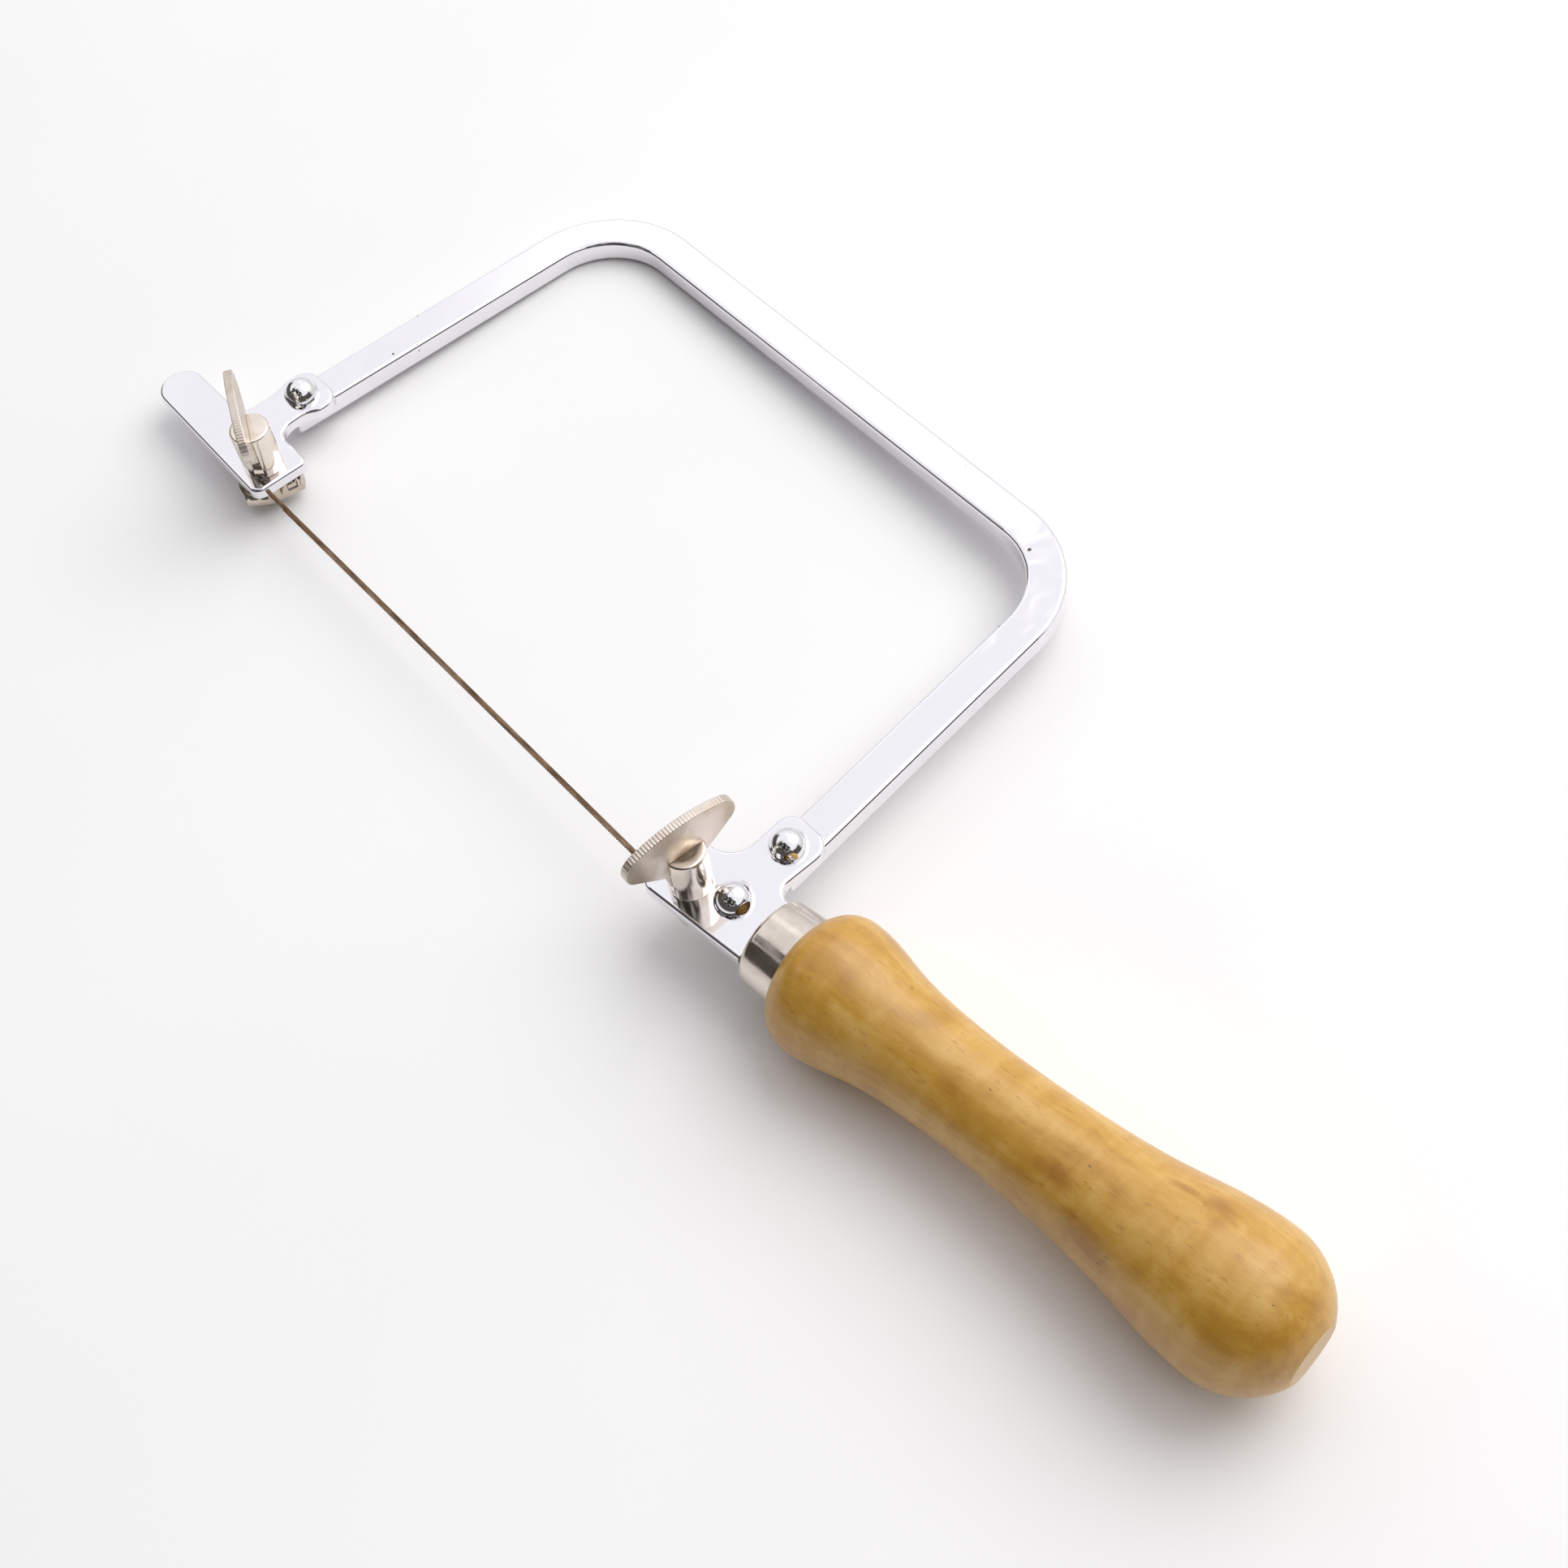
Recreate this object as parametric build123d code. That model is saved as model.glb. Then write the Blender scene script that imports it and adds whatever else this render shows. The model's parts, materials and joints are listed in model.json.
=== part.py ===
from build123d import *
import os
from math import atan2, cos, degrees, radians, sin, tan

# Jeweller's fixed saw frame, lying flat.  Millimetres.
# Drawing frame: X runs along the spine from the toe to the handle, Y from the blade to the
# spine, Z up.  Z = 0 is the top face of the bow bar, where both brackets sit, and X = Y = 0 is
# the corner where the inner edges of the spine and the toe arm would meet.
# Every solid is moved at the end, so that the origin of the finished part is the centre of
# the bottom of its bounding box.

# ---- bow: one flat bar bent to a U
bar_width = 7.4
bar_thick = 4.4
bar_edge_round = 0.8
bar_end_round = 0.6
throat_length = 125.2          # between the arms, measured on the inner edge of the spine
toe_splay = 2.7                # degrees each arm leans outwards
heel_splay = 6.1
toe_bend = 14.0                # inner radius of each bend
heel_bend = 14.6
arm_length = 77.0              # from the inner corner to the sawn-off end of the bar

# ---- brackets: one stamped plate on the end of each arm
plate_thick = 2.2
plate_edge_round = 0.7
rivet_station = 73.1           # arm rivets, measured along the arms from the inner corners
toe_rivet_offset = 0.8         # towards the throat from the middle of the bar
tongue_outer_y = -92.95        # edge of the toe bracket beyond the blade, at each end
toe_foot_outer_y = -93.8
toe_foot_end = 8.75
toe_foot_inner_y = -81.7
tongue_end = -29.6
tongue_inner_y = -84.1
heel_foot_end = 124.3
heel_foot_inner_y = -81.2
heel_plate_outer = -6.85       # its long edge, beside the handle's centre line
heel_plate_inner = 6.2
heel_tail_half_wide = 5.6      # narrower tail that enters the ferrule
heel_tail_reach = 3.0          # how far it reaches inside the ferrule
heel_neck_x = 141.8            # handle side of the heel bracket's neck
toe_lobe_top_y = -67.8         # the lobe round each arm rivet ends here
heel_lobe_top_y = -66.75

# ---- rivets
shank_dia = 3.5
dome_dia = 6.9
dome_high = 3.3
tail_dia = 5.6
tail_high = 1.3

# ---- handle
handle_angle = 6.5             # degrees between the handle and the spine
handle_front = Vector(146.9, -85.04, -1.0)
ferrule_front = -0.4           # stations along the handle are counted from the ferrule's neck
ferrule_rear = 6.8
ferrule_front_radius = 8.0
ferrule_rear_radius = 8.4
ferrule_wall = 0.6
ferrule_lip = 0.9              # rounding of its front edge
spigot_front = 3.3             # the wood starts this far inside the ferrule
bulge_radius = 12.5
bulge_station = 12.7
waist_radius = 9.05
waist_station = 45.0
swell_radius = 13.55
swell_station = 93.0
butt_station = 105.4

# ---- tang: flat spike, riveted under the heel bracket and driven into the handle
tang_thick = 2.0
tang_width = 8.0
tang_rivet_setback = 8.6       # from the front of the ferrule to the rivet
tang_rivet_offset = 0.6        # towards the spine from the centre line of the handle
tang_nose = 2.9                # from the rivet to the front end of the tang
tang_depth = 48.0              # reach behind the front of the ferrule
tang_tip_width = 3.0

# ---- clamps
toe_screw = Vector(3.1, -88.2, 0)
heel_screw = Vector(130.6, -88.2, 0)
post_dia = 7.6
post_high = 10.0
stud_dia = 3.9
stud_reach = 7.2               # below the bracket
turned_chamfer = 0.4
slot_deep = 6.0                # the wing is let this far into the post
wing_thick = 1.6
wing_crown = 8.0               # top of the wing above the post
wing_half_span = 10.85
toe_wing_seat = (-25.0, 0.0, -0.9)      # angle, shift along the wing, shift across it
heel_wing_seat = (87.0, -0.4, 0.0)
bracket_bore = 4.1
jaw_bore = 4.0
jaw_thick = 4.2
jaw_corner = 2.6
jaw_nose = (4.4, 5.2)          # length of the tapered end, and its width
nose_corner = 0.8
tooth_pitch = 1.7
tooth_deep = 0.9
toe_jaw_size = (8.4, 5.9, 5.9)     # width, reach away from the throat, reach towards it
toe_jaw_angle = -11.0
heel_jaw_size = (8.4, 6.2, 4.2)    # width, reach towards the toe, reach towards the handle
heel_jaw_angle = -90.0

# ---- blade
blade_length = 130.0
blade_thick = 0.5
blade_deep = 0.95
blade_front = 1.9              # front end of the blade
blade_toe_y = -90.95           # middle of the blade beside each thumbscrew
blade_heel_y = -90.8

heel_corner = Vector(throat_length, 0, 0)


def arm_direction(side):
    """Unit vector down the toe arm (side = -1) or the heel arm (side = +1)."""
    splay = radians(toe_splay if side < 0 else heel_splay)
    return Vector(side * sin(splay), -cos(splay), 0)


def arm_point(side, along, across):
    """Point on an arm: along it from the inner corner, and across it from its inner edge."""
    corner = heel_corner if side > 0 else Vector(0, 0, 0)
    run = arm_direction(side)
    outward = Vector(-side * run.Y, side * run.X, 0)
    return corner + run * along + outward * across


def outer_corner(side):
    """Corner of the outer edges of the spine and one arm."""
    splay = radians(toe_splay if side < 0 else heel_splay)
    reach = bar_width * (1 - sin(splay)) / cos(splay)
    corner = heel_corner if side > 0 else Vector(0, 0, 0)
    return corner + Vector(side * reach, bar_width, 0)


def handle_point(along, across, high=0.0):
    """Point beside the handle's centre line, from the front of the ferrule."""
    turn = radians(handle_angle)
    run = Vector(cos(turn), sin(turn), 0)
    left = Vector(-sin(turn), cos(turn), 0)
    return handle_front + run * along + left * across + Vector(0, 0, high)


toe_rivet = arm_point(-1, rivet_station, bar_width / 2 - toe_rivet_offset)
heel_rivet = arm_point(1, rivet_station, bar_width / 2)
tang_rivet = handle_point(-tang_rivet_setback, tang_rivet_offset, -handle_front.Z)


def plan_face(corners):
    """Flat face at Z = 0 from (X, Y, radius) corners, each rounded to its radius."""
    count = len(corners)
    points = [Vector(x, y, 0) for x, y, _ in corners]
    edges = []
    starts = []
    ends = []
    for i, (_, _, radius) in enumerate(corners):
        before = (points[i - 1] - points[i]).normalized()
        after = (points[(i + 1) % count] - points[i]).normalized()
        half_turn = before.get_angle(after) / 2
        cut = radius / tan(radians(half_turn))
        middle = (before + after).normalized()
        centre = points[i] + middle * (radius / sin(radians(half_turn)))
        starts.append(points[i] + before * cut)
        ends.append(points[i] + after * cut)
        if radius > 0:
            edges.append(ThreePointArc(starts[i], centre - middle * radius, ends[i]))
    for i in range(count):
        edges.append(Line(ends[i - 1], starts[i]))
    return make_face(Wire.combine(edges)[0].edges())


def top_edges(solid, level):
    """Edges that lie in the horizontal plane at a level."""
    return solid.edges().filter_by_position(Axis.Z, level - 0.001, level + 0.001)


def bore(centre, dia, low, high):
    """Upright pin of metal to take away between two levels."""
    return Pos(centre.X, centre.Y, low) * extrude(Circle(dia / 2), high - low)


def frame_bow():
    """The bar: spine, two bends and two arms, drilled for the arm rivets."""
    ends = []
    for side in (-1, 1):
        ends.append([arm_point(side, arm_length, across) for across in (0, bar_width)])
    toe_end, heel_end = ends
    outline = [
        (toe_end[0].X, toe_end[0].Y, bar_end_round),
        (0, 0, toe_bend),
        (heel_corner.X, heel_corner.Y, heel_bend),
        (heel_end[0].X, heel_end[0].Y, bar_end_round),
        (heel_end[1].X, heel_end[1].Y, bar_end_round),
        (outer_corner(1).X, outer_corner(1).Y, heel_bend + bar_width),
        (outer_corner(-1).X, outer_corner(-1).Y, toe_bend + bar_width),
        (toe_end[1].X, toe_end[1].Y, bar_end_round),
    ]
    bar = extrude(plan_face(outline), -bar_thick)
    bar = fillet(top_edges(bar, 0) + top_edges(bar, -bar_thick), bar_edge_round)
    for centre in (toe_rivet, heel_rivet):
        bar -= bore(centre, shank_dia, -bar_thick, 0)
    return bar


def bracket(outline, bores):
    """Stamped plate with rolled upper edges and sharp lower ones, and its holes."""
    plate = extrude(plan_face(outline), plate_thick)
    plate = fillet(top_edges(plate, plate_thick), plate_edge_round)
    for centre, dia in bores:
        plate -= bore(centre, dia, -1, plate_thick + 1)
    return plate


def toe_bracket():
    """Lobe on the arm, foot over the blade, and the long tongue beyond the toe."""
    outline = [
        (toe_foot_end, toe_foot_inner_y, 1.6),
        (-1.7, toe_foot_inner_y, 3.3),
        (-1.9, -75.4, 4.0),
        (-0.4, -72.6, 3.0),
        (-0.4, toe_lobe_top_y, 3.6),
        (-11.5, toe_lobe_top_y, 3.6),
        (-11.5, -73.4, 3.0),
        (-10.6, -76.6, 3.0),
        (-10.6, tongue_inner_y, 3.0),
        (tongue_end, tongue_inner_y, 4.4),
        (tongue_end, tongue_outer_y, 4.4),
        (toe_foot_end - 0.3, toe_foot_outer_y, 2.2),
    ]
    return bracket(outline, [(toe_rivet, shank_dia), (toe_screw, bracket_bore)])


def heel_bracket():
    """Lobe on the arm, foot over the blade, and the strip that enters the ferrule."""
    inner_end = handle_point(heel_tail_reach, heel_plate_inner)
    outer_end = handle_point(heel_tail_reach, heel_plate_outer)
    slope = tan(radians(handle_angle))
    outline = [
        (heel_foot_end, heel_foot_inner_y, 1.6),
        (heel_foot_end, outer_end.Y - (outer_end.X - heel_foot_end) * slope, 2.2),
        (outer_end.X, outer_end.Y, 1.0),
        (inner_end.X, inner_end.Y, 1.0),
        (heel_neck_x, inner_end.Y - (inner_end.X - heel_neck_x) * slope, 2.6),
        (heel_neck_x, heel_lobe_top_y, 3.8),
        (131.3, heel_lobe_top_y, 3.3),
        (132.4, heel_foot_inner_y, 5.0),
    ]
    bores = [(heel_rivet, shank_dia), (tang_rivet, shank_dia), (heel_screw, bracket_bore)]
    plate = bracket(outline, bores)
    notch = 5.0
    for side in (-1, 1):
        beside = Pos(ferrule_front - 0.4 + notch, side * (heel_tail_half_wide + notch), 0)
        plate -= along_handle(beside * Box(2 * notch, 2 * notch, 2 * notch))
    return plate


def rivet(centre, grip):
    """Dome on top of the bracket, shank through the stack, and a low formed tail."""
    dome_radius = (dome_dia ** 2 / 4 + dome_high ** 2) / (2 * dome_high)
    tail_radius = (tail_dia ** 2 / 4 + tail_high ** 2) / (2 * tail_high)
    rise = dome_dia / 2
    half = shank_dia / 2
    profile = Wire([
        Line((0, plate_thick + dome_high), (0, -grip - tail_high)),
        RadiusArc((0, -grip - tail_high), (tail_dia / 2, -grip), -tail_radius),
        Line((tail_dia / 2, -grip), (half, -grip)),
        Line((half, -grip), (half, plate_thick)),
        Line((half, plate_thick), (rise, plate_thick)),
        RadiusArc((rise, plate_thick), (0, plate_thick + dome_high), -dome_radius),
    ])
    return Pos(centre.X, centre.Y, 0) * revolve(Plane.XZ * make_face(profile), Axis.Z)


def along_handle(solid):
    """Stand a solid that was turned about X on the handle's centre line."""
    return Pos(*handle_front) * Rot(0, 0, handle_angle) * solid


def tang():
    """Flat spike from under the heel bracket to deep inside the wood."""
    half = tang_width / 2
    tip = tang_tip_width / 2
    nose = -tang_rivet_setback - tang_nose
    outline = [
        (nose, half, 2.0),
        (nose, -half, 2.0),
        (spigot_front, -half, 0),
        (tang_depth, -tip, 1.0),
        (tang_depth, tip, 1.0),
        (spigot_front, half, 0),
    ]
    blank = Pos(0, 0, -tang_thick / 2) * extrude(plan_face(outline), tang_thick)
    return along_handle(blank) - bore(tang_rivet, shank_dia, -tang_thick, 1)


def ferrule():
    """Thin tapered collar round the front of the wood, its front edge rolled in."""
    front = ferrule_front_radius
    rear = ferrule_rear_radius
    start = ferrule_front + ferrule_lip
    mouth = front - 0.8 * ferrule_lip
    profile = make_face(Wire([
        Line((start, front), (ferrule_rear, rear)),
        Line((ferrule_rear, rear), (ferrule_rear, rear - ferrule_wall)),
        Line((ferrule_rear, rear - ferrule_wall), (start, front - ferrule_wall)),
        Line((start, front - ferrule_wall), (ferrule_front, mouth)),
        TangentArc((start, front), (ferrule_front, mouth), tangent=(-1, 0)),
    ]))
    return along_handle(revolve(profile, Axis.X))


def handle():
    """Turned wooden handle, with the tang's slot left open in it."""
    spigot_end = ferrule_rear_radius - ferrule_wall
    taper = (ferrule_rear_radius - ferrule_front_radius) / (ferrule_rear - ferrule_front - ferrule_lip)
    spigot_start = spigot_end - taper * (ferrule_rear - spigot_front)
    shoulder = ferrule_rear_radius - 0.1
    butt_radius = (swell_radius ** 2 - (butt_station - swell_station) ** 2) ** 0.5
    profile = make_face(Wire([
        Line((spigot_front, 0), (spigot_front, spigot_start)),
        Line((spigot_front, spigot_start), (ferrule_rear, spigot_end)),
        Line((ferrule_rear, spigot_end), (ferrule_rear, shoulder)),
        TangentArc((bulge_station, bulge_radius), (ferrule_rear, shoulder), tangent=(-1, 0)),
        Spline(
            (bulge_station, bulge_radius),
            (24.0, 10.5),
            (33.3, 9.35),
            (waist_station, waist_radius),
            (60.0, 9.6),
            (75.0, 11.2),
            (swell_station, swell_radius),
            tangents=((1, 0), (1, 0)),
        ),
        ThreePointArc(
            (swell_station, swell_radius),
            (swell_station + swell_radius * sin(radians(30)), swell_radius * cos(radians(30))),
            (butt_station, butt_radius),
        ),
        Line((butt_station, butt_radius), (butt_station, 0)),
        Line((butt_station, 0), (spigot_front, 0)),
    ]))
    return along_handle(revolve(profile, Axis.X)) - tang()


def thumbscrew_post(screw, seat):
    """Slotted post with the threaded stud below it, in one turned piece."""
    angle, _, aside = seat
    stud_length = stud_reach + plate_thick
    post = extrude(Circle(post_dia / 2), post_high)
    post = chamfer(top_edges(post, post_high), turned_chamfer)
    stud = extrude(Circle(stud_dia / 2), -stud_length)
    stud = chamfer(top_edges(stud, -stud_length), turned_chamfer)
    slot = extrude(Rectangle(2 * post_dia, wing_thick), slot_deep)
    slotted = post + stud - Pos(0, aside, post_high - slot_deep) * slot
    return Pos(screw.X, screw.Y, plate_thick) * Rot(0, 0, angle) * slotted


def thumb_wing(screw, seat):
    """Flat thumb wing, brazed upright in the post's slot: a low crown over two sloping flanks."""
    angle, along, aside = seat
    root = post_dia / 2 - 0.2
    flank_low = -3.7
    flank_out = wing_half_span - 1.45
    flank_high = 0.8
    tip_level = 3.5
    rim_out = wing_half_span - 1.85
    rim_level = 6.4
    outline = Wire([
        Line((-root, -slot_deep), (root, -slot_deep)),
        Line((root, -slot_deep), (root, flank_low)),
        Line((root, flank_low), (flank_out, flank_high)),
        ThreePointArc((flank_out, flank_high), (wing_half_span, tip_level), (rim_out, rim_level)),
        ThreePointArc((rim_out, rim_level), (0, wing_crown), (-rim_out, rim_level)),
        ThreePointArc((-rim_out, rim_level), (-wing_half_span, tip_level), (-flank_out, flank_high)),
        Line((-flank_out, flank_high), (-root, flank_low)),
        Line((-root, flank_low), (-root, -slot_deep)),
    ])
    blade = extrude(Plane.XZ * make_face(outline), wing_thick / 2, both=True)
    seated = Pos(along, aside, 0) * blade
    return Pos(screw.X, screw.Y, plate_thick + post_high) * Rot(0, 0, angle) * seated


def blunt_outline(jaw_size):
    """Plan of the heel jaw: a block with well rounded corners."""
    wide, reach_out, reach_in = jaw_size
    half = wide / 2
    return [
        (half, reach_in, jaw_corner),
        (-half, reach_in, jaw_corner),
        (-half, -reach_out, jaw_corner),
        (half, -reach_out, jaw_corner),
    ]


def nosed_outline(jaw_size):
    """Plan of the toe jaw: square towards the throat, tapered away from it."""
    wide, reach_out, reach_in = jaw_size
    half = wide / 2
    nose_long, nose_wide = jaw_nose
    shoulder = nose_long - reach_out
    return [
        (half, reach_in, nose_corner),
        (-half, reach_in, nose_corner),
        (-half, shoulder, jaw_corner),
        (-nose_wide / 2, -reach_out, nose_corner),
        (nose_wide / 2, -reach_out, nose_corner),
        (half, shoulder, jaw_corner),
    ]


def jaw(screw, jaw_size, jaw_angle, outline):
    """Loose clamp jaw, tapped for the stud, with pyramid teeth on the face that grips."""
    wide, reach_out, reach_in = jaw_size
    block = extrude(plan_face(outline), -jaw_thick)
    block = chamfer(top_edges(block, -jaw_thick), turned_chamfer)
    mouth = 0.42 * tooth_pitch
    vee = make_face(Polyline((-mouth, 0.01), (0, -tooth_deep), (mouth, 0.01), close=True))
    groove = extrude(Plane.XZ * vee, wide, both=True)
    middle = (reach_in - reach_out) / 2
    for step in range(-3, 4):
        block -= Pos(step * tooth_pitch, 0, 0) * groove
        block -= Pos(0, middle + step * tooth_pitch, 0) * Rot(0, 0, 90) * groove
    block -= bore(Vector(0, 0, 0), jaw_bore, -jaw_thick - 1, 1)
    return Pos(screw.X, screw.Y, -blade_thick) * Rot(0, 0, jaw_angle) * block


def saw_blade():
    """Blade on edge beside both studs, its teeth facing away from the throat."""
    run = heel_screw.X - toe_screw.X
    lean = atan2(blade_heel_y - blade_toe_y, run)
    middle = blade_front + blade_length / 2
    middle_y = blade_toe_y + (middle - toe_screw.X) * tan(lean)
    strip = extrude(Rectangle(blade_length, blade_deep), blade_thick)
    return Pos(middle, middle_y, -blade_thick) * Rot(0, 0, degrees(lean)) * strip


nodes = {
    "frame_bow": frame_bow(),
    "toe_bracket": toe_bracket(),
    "heel_bracket": heel_bracket(),
    "toe_arm_rivet": rivet(toe_rivet, bar_thick),
    "heel_arm_rivet": rivet(heel_rivet, bar_thick),
    "tang_rivet": rivet(tang_rivet, tang_thick),
    "tang": tang(),
    "ferrule": ferrule(),
    "handle": handle(),
    "saw_blade": saw_blade(),
    "toe_thumbscrew_post": thumbscrew_post(toe_screw, toe_wing_seat),
    "toe_thumb_wing": thumb_wing(toe_screw, toe_wing_seat),
    "toe_jaw": jaw(toe_screw, toe_jaw_size, toe_jaw_angle, nosed_outline(toe_jaw_size)),
    "heel_thumbscrew_post": thumbscrew_post(heel_screw, heel_wing_seat),
    "heel_thumb_wing": thumb_wing(heel_screw, heel_wing_seat),
    "heel_jaw": jaw(heel_screw, heel_jaw_size, heel_jaw_angle, blunt_outline(heel_jaw_size)),
}

boxes = [solid.bounding_box() for solid in nodes.values()]
low = Vector(min(b.min.X for b in boxes), min(b.min.Y for b in boxes), min(b.min.Z for b in boxes))
high = Vector(max(b.max.X for b in boxes), max(b.max.Y for b in boxes), max(b.max.Z for b in boxes))
origin = Vector((low.X + high.X) / 2, (low.Y + high.Y) / 2, low.Z)

os.makedirs("parts", exist_ok=True)
for name, solid in nodes.items():
    placed = Pos(-origin.X, -origin.Y, -origin.Z) * solid.solid()
    export_step(placed, f"parts/{name}.step")

print("origin in the drawing frame:", origin)
print("size:", high - low)
for name, screw in (("toe screw", toe_screw), ("heel screw", heel_screw)):
    print(name, screw - origin)
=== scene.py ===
import json
import math

import bmesh
import bpy
from mathutils import Matrix, Vector
from mathutils.geometry import convex_hull_2d


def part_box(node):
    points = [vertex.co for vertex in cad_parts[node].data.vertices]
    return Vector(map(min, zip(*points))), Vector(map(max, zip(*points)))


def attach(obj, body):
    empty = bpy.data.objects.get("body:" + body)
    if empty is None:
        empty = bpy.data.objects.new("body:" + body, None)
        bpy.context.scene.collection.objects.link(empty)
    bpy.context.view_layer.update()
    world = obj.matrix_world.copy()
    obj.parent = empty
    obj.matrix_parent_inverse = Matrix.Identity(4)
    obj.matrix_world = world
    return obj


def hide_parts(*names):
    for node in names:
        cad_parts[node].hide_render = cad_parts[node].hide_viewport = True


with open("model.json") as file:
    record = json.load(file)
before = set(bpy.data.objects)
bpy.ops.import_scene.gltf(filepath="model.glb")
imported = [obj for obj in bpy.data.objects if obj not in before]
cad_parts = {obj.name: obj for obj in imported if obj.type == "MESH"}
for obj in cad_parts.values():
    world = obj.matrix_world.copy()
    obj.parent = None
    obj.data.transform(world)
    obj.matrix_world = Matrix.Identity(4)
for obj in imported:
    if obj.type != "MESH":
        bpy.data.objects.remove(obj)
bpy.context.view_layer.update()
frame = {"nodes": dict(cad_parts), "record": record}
record = frame["record"]
nodes = frame["nodes"]
MM = 0.001


def joint_point(name):
    """Centre of a joint, in metres."""
    return Vector(next(j["pos_m"] for j in record["behaviour"]["joints"] if j["name"] == name))


toe_screw = joint_point("toe_screw_turn")
heel_screw = joint_point("heel_screw_turn")
butt = next(m for m in record["mounts"] if m["name"] == "handle_butt")
butt_centre = Vector(butt["pos_m"])
handle_run = Vector(butt["axis"]).normalized()
handle_angle = math.atan2(handle_run.y, handle_run.x)


# ---------------------------------------------------------------- shader helpers
class Nodes:
    """Short calls that add nodes to a material's or the world's tree."""

    def __init__(self, tree):
        self.tree = tree

    def join(self, value, socket):
        """Link an output to a socket, or set the socket to a plain number, vector or colour."""
        if isinstance(value, bpy.types.NodeSocket):
            self.tree.links.new(value, socket)
        else:
            socket.default_value = value

    def node(self, kind, **inputs):
        made = self.tree.nodes.new(kind)
        for name, value in inputs.items():
            self.join(value, made.inputs[name])
        return made

    def math(self, operation, a, b):
        made = self.tree.nodes.new("ShaderNodeMath")
        made.operation = operation
        self.join(a, made.inputs[0])
        self.join(b, made.inputs[1])
        return made.outputs[0]

    def vector_math(self, operation, a, b=None):
        made = self.tree.nodes.new("ShaderNodeVectorMath")
        made.operation = operation
        self.join(a, made.inputs[0])
        if b is not None:
            self.join(b, made.inputs[1])
        return made.outputs

    def mapping(self, vector, location=(0, 0, 0), rotation=(0, 0, 0), scale=(1, 1, 1)):
        return self.node("ShaderNodeMapping", Vector=vector, Location=location,
                         Rotation=rotation, Scale=scale).outputs[0]

    def noise(self, vector, scale, detail=2.0, roughness=0.5, distortion=0.0):
        return self.node("ShaderNodeTexNoise", Vector=vector, Scale=scale, Detail=detail,
                         Roughness=roughness, Distortion=distortion).outputs["Fac"]

    def spots(self, vector, scale):
        """Distance to the nearest of many scattered points."""
        return self.node("ShaderNodeTexVoronoi", Vector=vector, Scale=scale).outputs["Distance"]

    def between(self, value, low, high, to_low=0.0, to_high=1.0):
        made = self.tree.nodes.new("ShaderNodeMapRange")
        made.interpolation_type = "SMOOTHSTEP"
        self.tree.links.new(value, made.inputs["Value"])
        made.inputs["From Min"].default_value = low
        made.inputs["From Max"].default_value = high
        made.inputs["To Min"].default_value = to_low
        made.inputs["To Max"].default_value = to_high
        return made.outputs["Result"]

    def ramp(self, value, stops):
        made = self.tree.nodes.new("ShaderNodeValToRGB")
        self.tree.links.new(value, made.inputs[0])
        band = made.color_ramp
        while len(band.elements) < len(stops):
            band.elements.new(0.5)
        for element, (position, colour) in zip(band.elements, stops):
            element.position = position
            element.color = (*colour, 1.0)
        return made.outputs["Color"]

    def mix(self, factor, under, over):
        made = self.tree.nodes.new("ShaderNodeMix")
        made.data_type = "RGBA"
        self.join(factor, made.inputs[0])
        for colour, socket in ((under, made.inputs[6]), (over, made.inputs[7])):
            self.join((*colour, 1.0) if isinstance(colour, tuple) else colour, socket)
        return made.outputs[2]


class Shader(Nodes):
    """A material with a Principled surface."""

    def __init__(self, name, colour, metallic, roughness):
        self.mat = bpy.data.materials.new(name)
        self.mat.use_nodes = True
        super().__init__(self.mat.node_tree)
        self.bsdf = self.tree.nodes["Principled BSDF"]
        self.set("Base Color", (*colour, 1.0))
        self.set("Metallic", metallic)
        self.set("Roughness", roughness)
        self.place = self.tree.nodes.new("ShaderNodeTexCoord").outputs["Object"]

    def set(self, socket, value):
        self.bsdf.inputs[socket].default_value = value

    def feed(self, socket, output):
        self.tree.links.new(output, self.bsdf.inputs[socket])

    def distance(self, point):
        """Distance in metres from a point in the shared frame."""
        return self.vector_math("DISTANCE", self.place, point)["Value"]

    def bump(self, height, depth, below=None):
        """Height from 0 to 1 raised by a depth in metres, on top of an earlier bump."""
        made = self.tree.nodes.new("ShaderNodeBump")
        made.inputs["Strength"].default_value = 1.0
        made.inputs["Distance"].default_value = depth
        self.tree.links.new(height, made.inputs["Height"])
        if below is not None:
            self.tree.links.new(below, made.inputs["Normal"])
        self.tree.links.new(made.outputs[0], self.bsdf.inputs["Normal"])
        return made.outputs[0]


# ---------------------------------------------------------------- materials
PIT_COLOUR = (0.16, 0.13, 0.12)


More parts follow.
